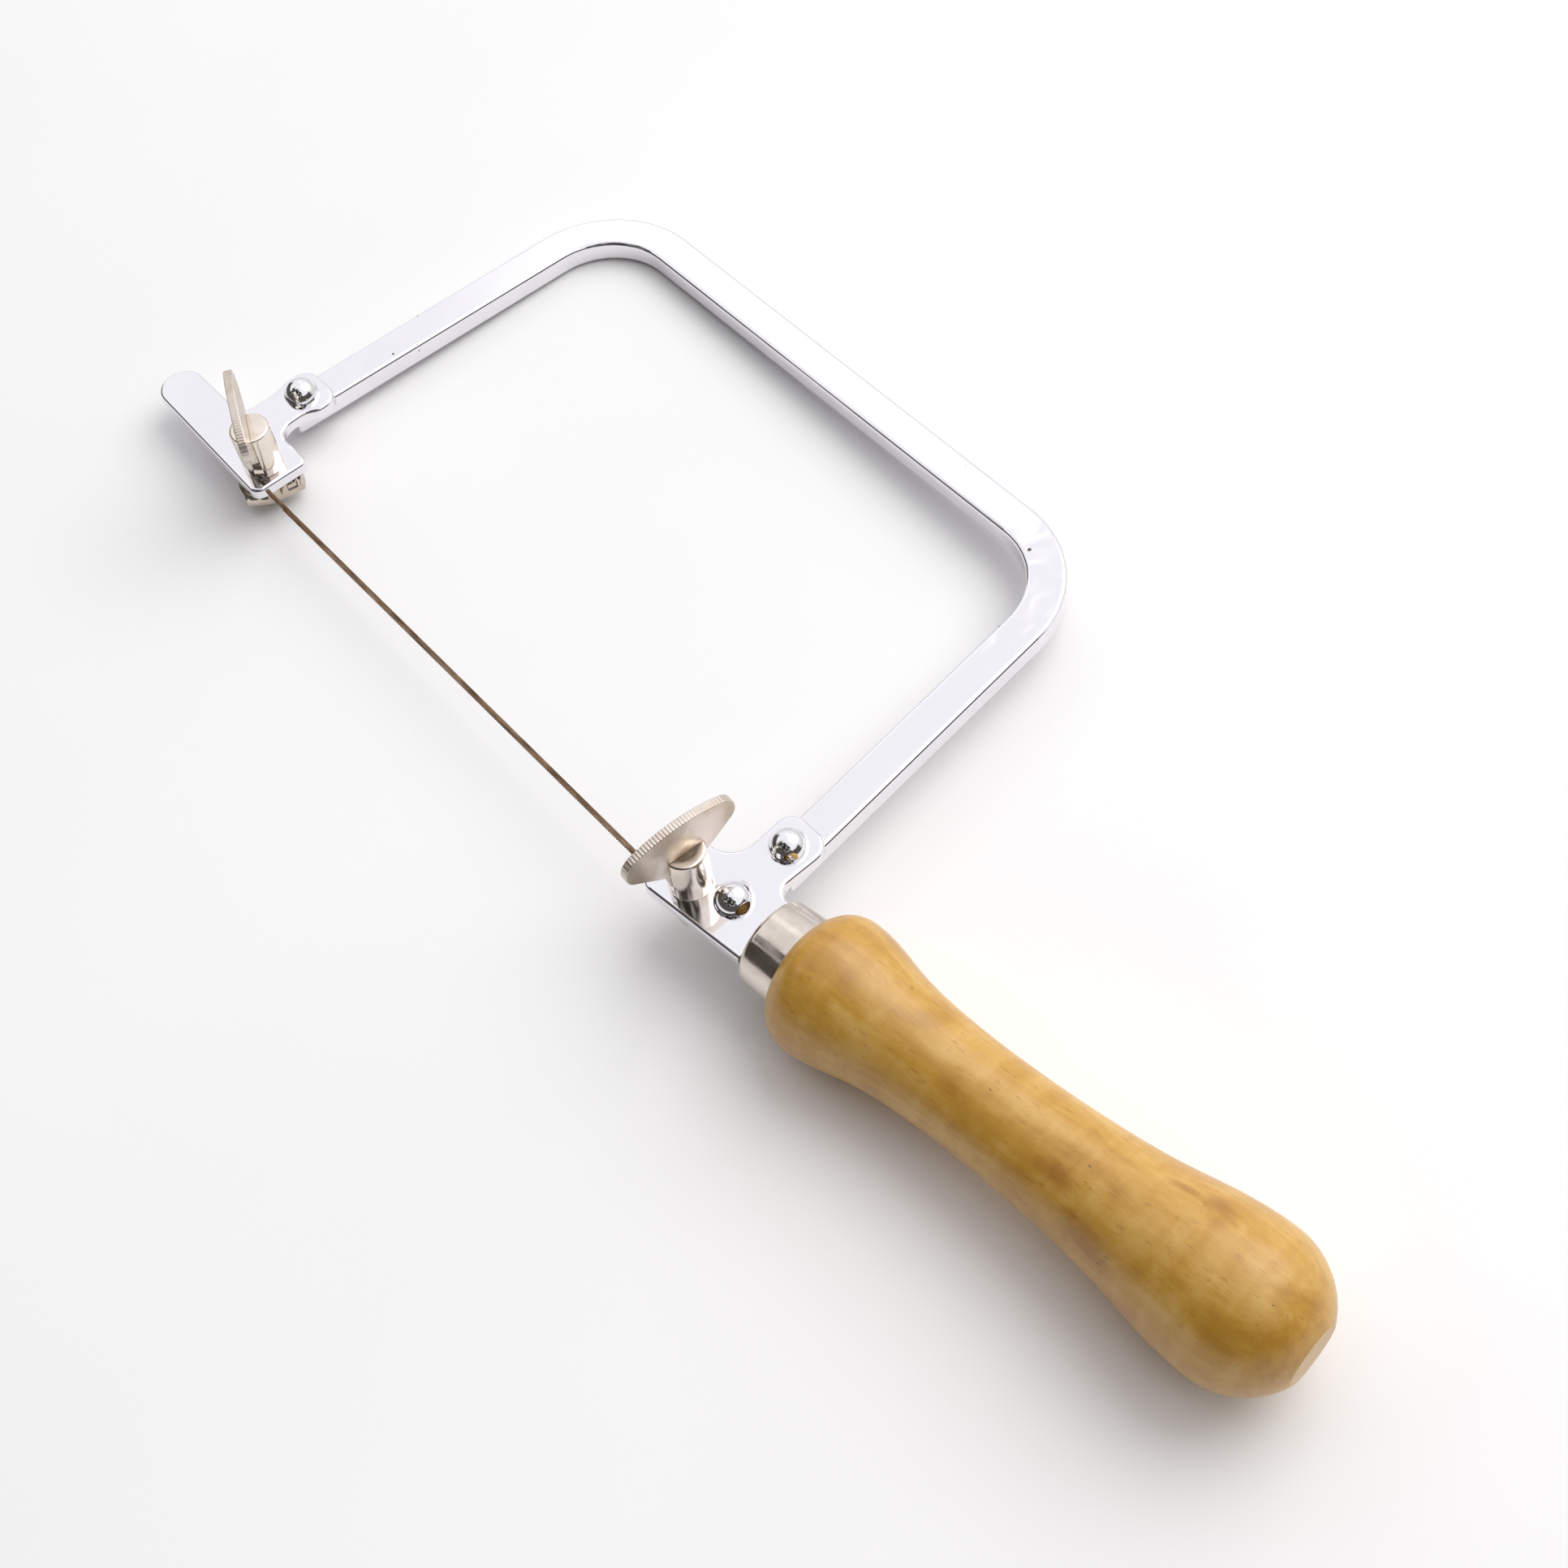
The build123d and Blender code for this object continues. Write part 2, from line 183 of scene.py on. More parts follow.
def chrome(name, colour, wave_depth, wave_size, bend=None, pit=None):
    """Bright plating over buffed steel: slow waves, hairline buffing marks, haze and a few pits."""
    s = Shader(name, colour, 1.0, 0.06)
    waves = s.noise(s.place, 1 / wave_size, 2.0, 0.4)
    buffed = s.mapping(s.place, rotation=(0, 0, 0.6), scale=(260, 5200, 2600))
    hairlines = s.noise(buffed, 1.0, 2.0)
    haze = s.noise(s.place, 90, 4.0, 0.6)
    pits = s.between(s.spots(s.place, 210), 0.035, 0.075)
    rare = s.between(s.noise(s.place, 24, 1.0), 0.62, 0.66)
    pitted = s.math("MAXIMUM", pits, s.math("SUBTRACT", 1.0, rare))
    if pit is not None:
        pitted = s.math("MULTIPLY", pitted, s.between(s.distance(pit), 0.00028, 0.00055))
    dull = s.math("MULTIPLY", s.math("SUBTRACT", 1.0, pitted), 0.5)
    s.feed("Roughness", s.math("ADD", s.between(haze, 0.35, 0.75, 0.045, 0.12), dull))
    tint = s.mix(s.between(haze, 0.3, 0.7), colour, tuple(c * 0.965 for c in colour))
    s.feed("Base Color", s.mix(pitted, PIT_COLOUR, tint))
    below = s.bump(waves, wave_depth)
    if bend is not None:
        # The bar was bent cold: its surface is rumpled round the bend.
        rumple = s.noise(s.place, 165, 1.0, 0.3, 0.8)
        near = s.between(s.distance(bend), 0.012, 0.024, 1.0, 0.0)
        below = s.bump(s.math("MULTIPLY", rumple, near), 0.00010, below)
    below = s.bump(hairlines, 0.0000010, below)
    s.bump(pitted, 0.00004, below)
    return s.mat


def nickel(name, colour, gloss, centre=None, grain=None, turn=0.0):
    """Warm nickel: ring-shaped turning marks about a centre, or straight grain along the piece."""
    s = Shader(name, colour, 1.0, gloss)
    haze = s.noise(s.place, 230, 4.0, 0.6)
    patches = s.noise(s.place, 150, 3.0, 0.55)
    if centre is not None:
        local = s.mapping(s.place, location=(-centre.x, -centre.y, 0))
        x, y, z = s.node("ShaderNodeSeparateXYZ", Vector=local).outputs
        squares = s.math("ADD", s.math("POWER", x, 2.0), s.math("POWER", y, 2.0))
        across = s.math("POWER", squares, 0.5)
        rings = s.node("ShaderNodeCombineXYZ", X=across, Y=z, Z=0.0).outputs[0]
        marks = s.noise(rings, 5200, 2.0, 0.6)
    else:
        marks = s.noise(s.mapping(s.place, rotation=(0, 0, turn), scale=grain), 1.0, 3.0, 0.6)
    s.feed("Roughness", s.math("ADD", s.between(haze, 0.3, 0.75, gloss * 0.7, gloss * 1.5),
                               s.math("MULTIPLY", marks, 0.06)))
    worn = s.between(patches, 0.40, 0.66)
    red, green, blue = colour
    s.feed("Base Color", s.mix(worn, colour, (red * 0.84, green * 0.80, blue * 0.75)))
    below = s.bump(s.noise(s.place, 260, 1.0), 0.000030)
    below = s.bump(marks, 0.0000045, below)
    s.bump(haze, 0.000010, below)
    return s.mat


# Knots: place in handle coordinates and size, in metres, then the scale along the grain (1: round).
KNOTS = [
    (-0.0430, -0.0023, 0.0082, 0.0020, 0.62),
    (-0.0340, -0.0066, 0.0048, 0.0034, 0.62),
    (-0.0215, 0.0082, 0.0118, 0.0020, 0.62),
    (-0.0275, 0.0070, 0.0112, 0.0011, 0.22),
    (-0.0710, -0.0025, -0.0078, 0.0038, 0.62),
]
WOOD_TONES = [
    (0.29, (0.330, 0.145, 0.011)),
    (0.39, (0.455, 0.228, 0.019)),
    (0.49, (0.560, 0.310, 0.038)),
    (0.58, (0.640, 0.395, 0.090)),
    (0.68, (0.720, 0.485, 0.160)),
]
FLECK_COLOUR = (0.36, 0.17, 0.020)
KNOT_COLOUR = (0.32, 0.125, 0.010)
PORE_COLOUR = (0.10, 0.045, 0.02)
GRAIN_WANDER = 0.006


def lacquered_wood():
    """Honey-coloured wood under clear lacquer, its grain running along the handle."""
    s = Shader("handle_wood", (0.62, 0.38, 0.12), 0.0, 0.42)
    # Handle coordinates: X along the axis, zero at the butt and negative towards the ferrule.
    moved = s.mapping(s.place, location=(-butt_centre.x, -butt_centre.y, -butt_centre.z))
    along = s.mapping(moved, rotation=(0, 0, -handle_angle))
    drift = s.noise(s.mapping(along, scale=(26, 60, 60)), 1.0, 2.0)
    wander = s.math("MULTIPLY", drift, GRAIN_WANDER)
    shift = s.node("ShaderNodeCombineXYZ", X=0.0, Y=wander, Z=0.0).outputs[0]
    grain = s.vector_math("ADD", along, shift)[0]

    # Small knots and one long crease.
    knotted = None
    for x, y, z, size, squeeze in KNOTS:
        centred = s.mapping(grain, location=(-x * squeeze, -y, -z), scale=(squeeze, 1, 1))
        ragged = s.math("MULTIPLY", s.noise(along, 420, 3.0), size * 0.9)
        reach = s.math("ADD", s.vector_math("LENGTH", centred)["Value"], ragged)
        dark = s.between(reach, size * 0.55, size * 1.9, 1.0, 0.0)
        knotted = dark if knotted is None else s.math("MAXIMUM", knotted, dark)

    streaks = s.noise(s.mapping(grain, scale=(34, 520, 520)), 1.0, 5.0, 0.62)
    fibres = s.noise(s.mapping(grain, scale=(150, 2600, 2600)), 1.0, 3.0, 0.6)
    mottle = s.noise(s.mapping(grain, scale=(70, 120, 120)), 1.0, 4.0, 0.62, 0.6)
    flecks = s.noise(s.mapping(grain, scale=(420, 1500, 1500)), 1.0, 2.0, 0.5)
    curl = s.noise(s.mapping(along, scale=(330, 60, 60)), 1.0, 2.0, 0.5)
    fine = s.math("ADD", s.math("MULTIPLY", curl, 0.20), s.math("MULTIPLY", fibres, 0.08))
    coarse = s.math("ADD", s.math("MULTIPLY", mottle, 0.48), fine)
    tone = s.math("ADD", s.math("MULTIPLY", streaks, 0.24), coarse)
    colour = s.ramp(tone, WOOD_TONES)
    colour = s.mix(s.between(flecks, 0.60, 0.74, 0.0, 0.50), colour, FLECK_COLOUR)
    colour = s.mix(s.math("MULTIPLY", knotted, 0.68), colour, KNOT_COLOUR)
    pores = s.spots(s.mapping(grain, scale=(230, 900, 900)), 1.0)
    few = s.between(s.noise(along, 130, 1.0), 0.56, 0.62)
    pore = s.math("MULTIPLY", s.between(pores, 0.05, 0.12, 1.0, 0.0), few)
    colour = s.mix(s.math("MULTIPLY", pore, 0.8), colour, PORE_COLOUR)
    s.feed("Base Color", colour)
    s.feed("Roughness", s.between(mottle, 0.3, 0.7, 0.38, 0.52))
    s.set("Coat Weight", 0.6)
    s.set("Coat Roughness", 0.26)
    s.set("Coat Tint", (1.0, 0.93, 0.85, 1.0))
    s.set("Subsurface Weight", 0.06)
    s.set("Subsurface Radius", (0.004, 0.002, 0.001))
    s.set("Subsurface Scale", 0.4)
    below = s.bump(s.noise(along, 95, 2.0, 0.5), 0.00022)
    below = s.bump(fibres, 0.000010, below)
    s.bump(s.math("SUBTRACT", 1.0, pore), 0.00006, below)
    return s.mat


def blade_steel():
    """Tempered blade, browned by heat and handling."""
    s = Shader("blade_steel", (0.20, 0.13, 0.085), 1.0, 0.32)
    tarnish = s.noise(s.mapping(s.place, scale=(160, 900, 900)), 1.0, 4.0, 0.65)
    s.feed("Base Color", s.ramp(tarnish, [
        (0.35, (0.075, 0.045, 0.030)),
        (0.52, (0.185, 0.115, 0.070)),
        (0.68, (0.300, 0.205, 0.130)),
    ]))
    s.feed("Roughness", s.between(tarnish, 0.35, 0.7, 0.26, 0.48))
    s.bump(s.noise(s.mapping(s.place, scale=(900, 9000, 9000)), 1.0, 2.0), 0.000004)
    return s.mat


def tang_steel():
    """Bare forged steel with a dark scale."""
    s = Shader("tang_steel", (0.42, 0.42, 0.43), 1.0, 0.34)
    scale = s.noise(s.place, 420, 5.0, 0.65)
    s.feed("Base Color", s.ramp(scale, [(0.35, (0.20, 0.19, 0.19)), (0.6, (0.46, 0.45, 0.45))]))
    s.feed("Roughness", s.between(scale, 0.3, 0.7, 0.28, 0.5))
    filed = s.mapping(s.place, rotation=(0, 0, -handle_angle), scale=(300, 4200, 4200))
    s.bump(s.noise(filed, 1.0, 2.0), 0.000008)
    return s.mat


def paint(obj, material):
    """Give an object one material."""
    obj.data.materials.clear()
    obj.data.materials.append(material)


# ---------------------------------------------------------------- mesh helpers
TURN_STEPS = 96
SLIVER_WIDTH = 0.000004


def clamped(value):
    """The value held between 0 and 1."""
    return min(1.0, max(0.0, value))


def make_object(name, bm, smooth_angle=35.0):
    """Object from a bmesh, shaded smooth but for edges sharper than an angle in degrees."""
    mesh = bpy.data.meshes.new(name)
    bmesh.ops.recalc_face_normals(bm, faces=bm.faces)
    bm.to_mesh(mesh)
    bm.free()
    obj = bpy.data.objects.new(name, mesh)
    bpy.context.scene.collection.objects.link(obj)
    mesh.shade_smooth()
    with bpy.context.temp_override(object=obj, active_object=obj, selected_editable_objects=[obj]):
        bpy.ops.object.shade_smooth_by_angle(angle=math.radians(smooth_angle))
    return obj


def turned(profile):
    """Closed solid turned about Z from (radius, height) points that start and end on the axis."""
    bm = bmesh.new()
    rings = []
    for radius, height in profile:
        if radius == 0:
            rings.append([bm.verts.new((0, 0, height))])
            continue
        ring = []
        for i in range(TURN_STEPS):
            turn = 2 * math.pi * i / TURN_STEPS
            ring.append(bm.verts.new((radius * math.cos(turn), radius * math.sin(turn), height)))
        rings.append(ring)
    for lower, upper in zip(rings, rings[1:]):
        for i in range(TURN_STEPS):
            j = (i + 1) % TURN_STEPS
            if len(lower) == 1:
                bm.faces.new((lower[0], upper[j], upper[i]))
            elif len(upper) == 1:
                bm.faces.new((lower[i], lower[j], upper[0]))
            else:
                bm.faces.new((lower[i], lower[j], upper[j], upper[i]))
    return bm


def extrude(bm, face, run):
    """Draw a lone face along a vector into a closed solid."""
    made = bmesh.ops.extrude_face_region(bm, geom=[face])
    moved = [v for v in made["geom"] if isinstance(v, bmesh.types.BMVert)]
    bmesh.ops.translate(bm, verts=moved, vec=run)


def apply_modifiers(obj):
    """Replace the mesh with what its modifiers make of it."""
    bpy.context.view_layer.update()
    evaluated = obj.evaluated_get(bpy.context.evaluated_depsgraph_get())
    mesh = bpy.data.meshes.new_from_object(evaluated)
    obj.modifiers.clear()
    old = obj.data
    obj.data = mesh
    bpy.data.meshes.remove(old)


def cut_away(obj, cutters):
    """Subtract the cutters from an object and remove them."""
    for cutter in cutters:
        cut = obj.modifiers.new("cut", "BOOLEAN")
        cut.operation = "DIFFERENCE"
        cut.solver = "EXACT"
        cut.object = cutter
    apply_modifiers(obj)
    for cutter in cutters:
        bpy.data.objects.remove(cutter)


def drop_slivers(obj):
    """Remove the faces of no width that a cut or a bevel can leave behind."""
    bm = bmesh.new()
    bm.from_mesh(obj.data)
    bmesh.ops.dissolve_degenerate(bm, dist=SLIVER_WIDTH, edges=bm.edges)
    bm.to_mesh(obj.data)
    bm.free()


# ---------------------------------------------------------------- thumbscrew posts
WING_THICK = 1.6 * MM
SLOT_PLAY = 0.06 * MM
POST_EDGE = 0.35 * MM
POST_ROUNDING = POST_EDGE * 1.5
POST_RELIEF = 0.02 * MM
THREAD_PITCH = 0.7 * MM
THREAD_ROOT = 1.58 * MM
THREAD_CREST = 1.95 * MM
STUD_GAP = 0.3 * MM
STUD_POINT = 0.5 * MM
STUD_POINT_DEPTH = 0.25 * MM
STUD_AROUND = 48
STUD_ROWS = 220


def slotted_post(name, node, screw, wing_node, wing_turn):
    """Turned post with a slot for the wing's tang."""
    low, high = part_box(node)
    wing_low, wing_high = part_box(wing_node)
    radius = (high.x - low.x) / 2
    base = screw.z
    top = high.z
    profile = [
        (0, base - POST_RELIEF),
        (radius - POST_EDGE * 0.6, base - POST_RELIEF),
        (radius - POST_EDGE * 0.15, base + 0.10 * MM),
        (radius, base + POST_EDGE),
        (radius, top - POST_ROUNDING),
    ]
    for i in range(1, 7):
        turn = math.radians(90 * i / 6)
        profile.append((radius - POST_ROUNDING * (1 - math.cos(turn)),
                        top - POST_ROUNDING * (1 - math.sin(turn))))
    profile.append((0, top))
    post = make_object(name, turned(profile))
    post.location = (screw.x, screw.y, 0)

    middle = (wing_low + wing_high) / 2
    slot_floor = wing_low.z
    depth = top - slot_floor + 2 * MM
    bm = bmesh.new()
    bmesh.ops.create_cube(bm, size=1.0)
    cutter = make_object(name + "_slot", bm)
    cutter.matrix_world = (Matrix.Translation((middle.x, middle.y, slot_floor + depth / 2))
                           @ Matrix.Rotation(wing_turn, 4, "Z")
                           @ Matrix.Diagonal((radius * 4, WING_THICK + SLOT_PLAY, depth, 1)))
    cut_away(post, [cutter])
    return post


def threaded_stud(name, node, screw):
    """Stud below the post: a grid round and down whose radius follows a real thread."""
    start = screw.z - POST_RELIEF + STUD_GAP
    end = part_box(node)[0].z
    bm = bmesh.new()
    grid = []
    for k in range(STUD_ROWS + 1):
        z = start + (end - start) * k / STUD_ROWS
        taper = clamped((z - end) / STUD_POINT)
        ring = []
        for i in range(STUD_AROUND):
            turn = i / STUD_AROUND
            phase = (z / THREAD_PITCH - turn) % 1.0
            flank = 1 - abs(2 * phase - 1)
            lift = clamped((flank - 0.12) / 0.66)
            radius = (THREAD_ROOT - STUD_POINT_DEPTH * (1 - taper)
                      + (THREAD_CREST - THREAD_ROOT) * lift * taper)
            angle = 2 * math.pi * turn
            ring.append(bm.verts.new((screw.x + radius * math.cos(angle),
                                      screw.y + radius * math.sin(angle), z)))
        grid.append(ring)
    for upper, lower in zip(grid, grid[1:]):
        for i in range(STUD_AROUND):
            j = (i + 1) % STUD_AROUND
            bm.faces.new((upper[i], lower[i], lower[j], upper[j]))
    bm.faces.new(grid[0])
    bm.faces.new(grid[-1])
    return make_object(name, bm, 50.0)


# ---------------------------------------------------------------- thumbscrew wings
WING_REACH = 10.85 * MM
TANG_DEPTH = 6.0 * MM
TANG_HALF_WIDTH = 3.6 * MM
SHOULDER_DROP = 3.7 * MM
WING_SOFTENING = 0.16 * MM
KNURL_PITCH = 0.62 * MM
KNURL_DEPTH = 0.07 * MM
KNURL_FADE_POINTS = 8
TIP_POINTS = 40
SMOOTH_TIP_POINTS = 14
RIDGE_POINTS = 240


def arc_through(a, b, c, count):
    """Points on the circle through a, b and c, from just after a to c."""
    (ax, ay), (bx, by), (cx, cy) = a, b, c
    aa, bb, cc = ax * ax + ay * ay, bx * bx + by * by, cx * cx + cy * cy
    d = 2 * (ax * (by - cy) + bx * (cy - ay) + cx * (ay - by))
    ux = (aa * (by - cy) + bb * (cy - ay) + cc * (ay - by)) / d
    uy = (aa * (cx - bx) + bb * (ax - cx) + cc * (bx - ax)) / d
    start, mid, end = (math.atan2(y - uy, x - ux) for x, y in (a, b, c))
    while mid < start:
        mid += 2 * math.pi
    while end < start:
        end += 2 * math.pi
    if mid > end:
        end -= 2 * math.pi
    radius = math.hypot(ax - ux, ay - uy)
    turns = [start + (end - start) * i / count for i in range(1, count + 1)]
    return [(ux + radius * math.cos(turn), uy + radius * math.sin(turn)) for turn in turns]


def knurled(rim):
    """The points of a rim, pressed inwards in even notches that fade out at both ends."""
    notched = []
    run = 0.0
    last = len(rim) - 1
    for i, (x, y) in enumerate(rim):
        if i:
            run += math.dist(rim[i], rim[i - 1])
        back = rim[max(i - 1, 0)]
        ahead = rim[min(i + 1, last)]
        tangent = Vector((ahead[0] - back[0], ahead[1] - back[1])).normalized()
        fade = min(1.0, i / KNURL_FADE_POINTS, (last - i) / KNURL_FADE_POINTS)
        wave = (0.5 - 0.5 * math.cos(2 * math.pi * run / KNURL_PITCH)) ** 1.6
        notch = KNURL_DEPTH * fade * wave
        notched.append((x - tangent.y * notch, y + tangent.x * notch))
    return notched


def knurled_wing(name, node, turn):
    """Flat wing with softened edges and a knurled rim between its tips."""
    low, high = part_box(node)
    middle = (low + high) / 2
    # The outline, in the wing's own plane: X along the wing, then the height.
    post_top = low.z + TANG_DEPTH
    shoulder = post_top - SHOULDER_DROP
    tip_lower = (WING_REACH - 1.45 * MM, post_top + 0.8 * MM)
    tip_outer = (WING_REACH, post_top + 3.5 * MM)
    tip_upper = (WING_REACH - 1.85 * MM, post_top + 6.4 * MM)
    right_tip = arc_through(tip_lower, tip_outer, tip_upper, TIP_POINTS)
    ridge = arc_through(tip_upper, (0, high.z), (-tip_upper[0], tip_upper[1]), RIDGE_POINTS)
    left_tip = [(-x, y) for x, y in reversed(right_tip)][1:] + [(-tip_lower[0], tip_lower[1])]
    tang = [(-TANG_HALF_WIDTH, low.z), (TANG_HALF_WIDTH, low.z), (TANG_HALF_WIDTH, shoulder)]
    smooth_right, right_tip = right_tip[:SMOOTH_TIP_POINTS], right_tip[SMOOTH_TIP_POINTS:]
    left_tip, smooth_left = left_tip[:-SMOOTH_TIP_POINTS - 1], left_tip[-SMOOTH_TIP_POINTS - 1:]
    points = (tang + [tip_lower] + smooth_right + knurled(right_tip + ridge + left_tip)
              + smooth_left + [(-TANG_HALF_WIDTH, shoulder)])

    bm = bmesh.new()
    face = bm.faces.new([bm.verts.new((x, -WING_THICK / 2, z)) for x, z in points])
    extrude(bm, face, (0, WING_THICK, 0))
    wing = make_object(name, bm, 40.0)
    wing.matrix_world = Matrix.Translation((middle.x, middle.y, 0)) @ Matrix.Rotation(turn, 4, "Z")
    soften = wing.modifiers.new("soften", "BEVEL")
    soften.width = WING_SOFTENING
    soften.segments = 3
    soften.limit_method = "ANGLE"
    soften.angle_limit = math.radians(60)
    apply_modifiers(wing)
    return wing


# ---------------------------------------------------------------- clamp jaws
TOOTH_PITCH = 1.15 * MM
TOOTH_DEPTH = 1.25 * MM
GROOVE_HALF_WIDTH = TOOTH_PITCH * 0.48
GROOVE_HALF_LENGTH = 12 * MM
GROOVES_EACH_SIDE = int(8 * MM / TOOTH_PITCH)
CUT_ABOVE = 0.02 * MM
JAW_BORE_RADIUS = 2.0 * MM
JAW_BORE_LENGTH = 20 * MM
SOLE_BEVEL = 0.4 * MM
SHORTEST_SIDE = 0.12 * MM


def groove_cutter(name, screw, turn, grip):
    """Row of V-shaped bars at the height of the gripping face, turned about the screw."""
    section = [(-GROOVE_HALF_WIDTH, CUT_ABOVE), (0, -TOOTH_DEPTH),
               (GROOVE_HALF_WIDTH, CUT_ABOVE)]
    bm = bmesh.new()
    for k in range(-GROOVES_EACH_SIDE, GROOVES_EACH_SIDE + 1):
        near, far = ([bm.verts.new((k * TOOTH_PITCH + x, y, grip + z)) for x, z in section]
                     for y in (-GROOVE_HALF_LENGTH, GROOVE_HALF_LENGTH))
        bm.faces.new(near)
        bm.faces.new(far)
        for i in range(3):
            j = (i + 1) % 3
            bm.faces.new((near[i], near[j], far[j], far[i]))
    cutter = make_object(name, bm)
    cutter.matrix_world = (Matrix.Translation((screw.x, screw.y, 0))
                           @ Matrix.Rotation(turn, 4, "Z"))
    return cutter


def toothed_jaw(name, node, screw, turn):
    """Clamp jaw with the node's own plan and rows of sharp pyramid teeth on the face that grips."""
    low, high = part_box(node)
    place = nodes[node].matrix_world
    plan = [(place @ v.co).xy for v in nodes[node].data.vertices]
    corners = [plan[i] for i in convex_hull_2d(plan)]
    hull = [p for i, p in enumerate(corners) if (p - corners[i - 1]).length > SHORTEST_SIDE]
    bm = bmesh.new()
    sole = bm.faces.new([bm.verts.new((x, y, low.z)) for x, y in hull])
    sole_edges = list(sole.edges)
    extrude(bm, sole, (0, 0, high.z - low.z))
    bmesh.ops.bevel(bm, geom=sole_edges, offset=SOLE_BEVEL, segments=3, profile=0.5,
                    affect="EDGES")
    jaw = make_object(name, bm, 30.0)

    cutters = [groove_cutter(f"{name}_grooves_{quarter}", screw,
                             turn + quarter * math.pi / 2, high.z) for quarter in (0, 1)]
    bm = bmesh.new()
    bmesh.ops.create_cone(bm, cap_ends=True, segments=64, radius1=JAW_BORE_RADIUS,
                          radius2=JAW_BORE_RADIUS, depth=JAW_BORE_LENGTH)
    bore = make_object(f"{name}_bore", bm)
    bore.location = (screw.x, screw.y, low.z)
    cut_away(jaw, cutters + [bore])
    drop_slivers(jaw)
    return jaw


# ---------------------------------------------------------------- blade
BLADE_DEPTH = 0.95 * MM
BLADE_TOOTH_PITCH = 0.56 * MM
BLADE_TOOTH_DEPTH = 0.24 * MM
BLADE_PLAIN_ENDS = 22 * MM


def toothed_blade():
    """Blade strip with saw teeth along its outer edge and a plain stretch at each end."""
    low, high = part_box("saw_blade")
    length = high.x - low.x
    half = BLADE_DEPTH / 2
    lean = math.atan2((high.y - low.y) - BLADE_DEPTH, length)
    count = int((length - BLADE_PLAIN_ENDS) / BLADE_TOOTH_PITCH)
    first = (length - count * BLADE_TOOTH_PITCH) / 2
    last = first + count * BLADE_TOOTH_PITCH
    gullet = -half + BLADE_TOOTH_DEPTH
    outline = [(0.0, -half)]
    for k in range(count):
        x = first + k * BLADE_TOOTH_PITCH
        outline += [(x, gullet), (x + BLADE_TOOTH_PITCH * 0.30, -half),
                    (x + BLADE_TOOTH_PITCH * 0.42, -half)]
    outline += [(last, gullet), (last + 0.1 * MM, -half), (length, -half),
                (length, half), (0.0, half)]
    bm = bmesh.new()
    face = bm.faces.new([bm.verts.new((x, y, low.z)) for x, y in outline])
    extrude(bm, face, (0, 0, high.z - low.z))
    blade = make_object("toothed_blade", bm, 20.0)
    blade.matrix_world = (Matrix.Translation((low.x, low.y + half, 0))
                          @ Matrix.Rotation(lean, 4, "Z"))
    bpy.context.view_layer.update()
    return blade


# ---------------------------------------------------------------- dressing the frame
CHROME = (0.88, 0.87, 0.90)
RIVET_CHROME = (0.86, 0.86, 0.88)
FERRULE_NICKEL = (0.76, 0.70, 0.635)
POST_NICKEL = (0.86, 0.785, 0.705)
WING_NICKEL = (0.70, 0.635, 0.565)
JAW_NICKEL = (0.70, 0.62, 0.55)
# Darker nickel for the flanks of the clamp teeth: painted shade down between the teeth.
SHADED_FLANK_NICKEL = (0.40, 0.33, 0.27)
# Turns about Z, in the pose of the photo.
JAW_TURNS = {"toe": math.radians(-11.0), "heel": math.radians(-90.0)}
WING_TURNS = {"toe": math.radians(-25.0), "heel": math.radians(87.0)}
SCREWS = {"toe": toe_screw, "heel": heel_screw}

bow_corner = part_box("frame_bow")[1]
heel_bend = bow_corner - Vector((14.5, 15.0, 0)) * MM
bow_pit = bow_corner - Vector((22.0, 7.2, 0)) * MM
paint(nodes["frame_bow"], chrome("chrome_bow", CHROME, wave_depth=0.00007, wave_size=0.020,
                                 bend=heel_bend, pit=bow_pit))
plate_chrome = chrome("chrome_plate", CHROME, wave_depth=0.00003, wave_size=0.016)
rivet_chrome = chrome("chrome_rivet", RIVET_CHROME, wave_depth=0.00002, wave_size=0.0035)
for name in ("toe_bracket", "heel_bracket"):
    paint(nodes[name], plate_chrome)
for name in ("toe_arm_rivet", "heel_arm_rivet", "tang_rivet"):
    paint(nodes[name], rivet_chrome)
paint(nodes["tang"], tang_steel())
paint(nodes["handle"], lacquered_wood())
paint(nodes["ferrule"], nickel("ferrule_nickel", FERRULE_NICKEL, 0.12,
                               grain=(120, 2400, 2400), turn=-handle_angle))

jaw_nickel = nickel("jaw_nickel", JAW_NICKEL, 0.16, grain=(900, 900, 900))
# Rougher nickel for the tooth flanks, its colour darkened as painted shade between the teeth.
shaded_flank_nickel = nickel("tooth_flank_painted_shade", SHADED_FLANK_NICKEL, 0.30, grain=(900, 900, 900))
for end, screw in SCREWS.items():
    jaw = toothed_jaw(f"{end}_toothed_jaw", f"{end}_jaw", screw, JAW_TURNS[end])
    paint(jaw, jaw_nickel)
    # The flanks of the teeth are rougher than their tips, the gullets and the sides, and darker in
    # colour: painted shade down between the teeth.
    jaw.data.materials.append(shaded_flank_nickel)
    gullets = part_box(f"{end}_jaw")[1].z - TOOTH_DEPTH
    for face in jaw.data.polygons:
        sloping = 0.05 < face.normal.z < 0.95 and face.center.z > gullets
        face.material_index = 1 if sloping else 0
    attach(jaw, f"{end}_clamp_jaw")
    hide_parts(f"{end}_jaw")

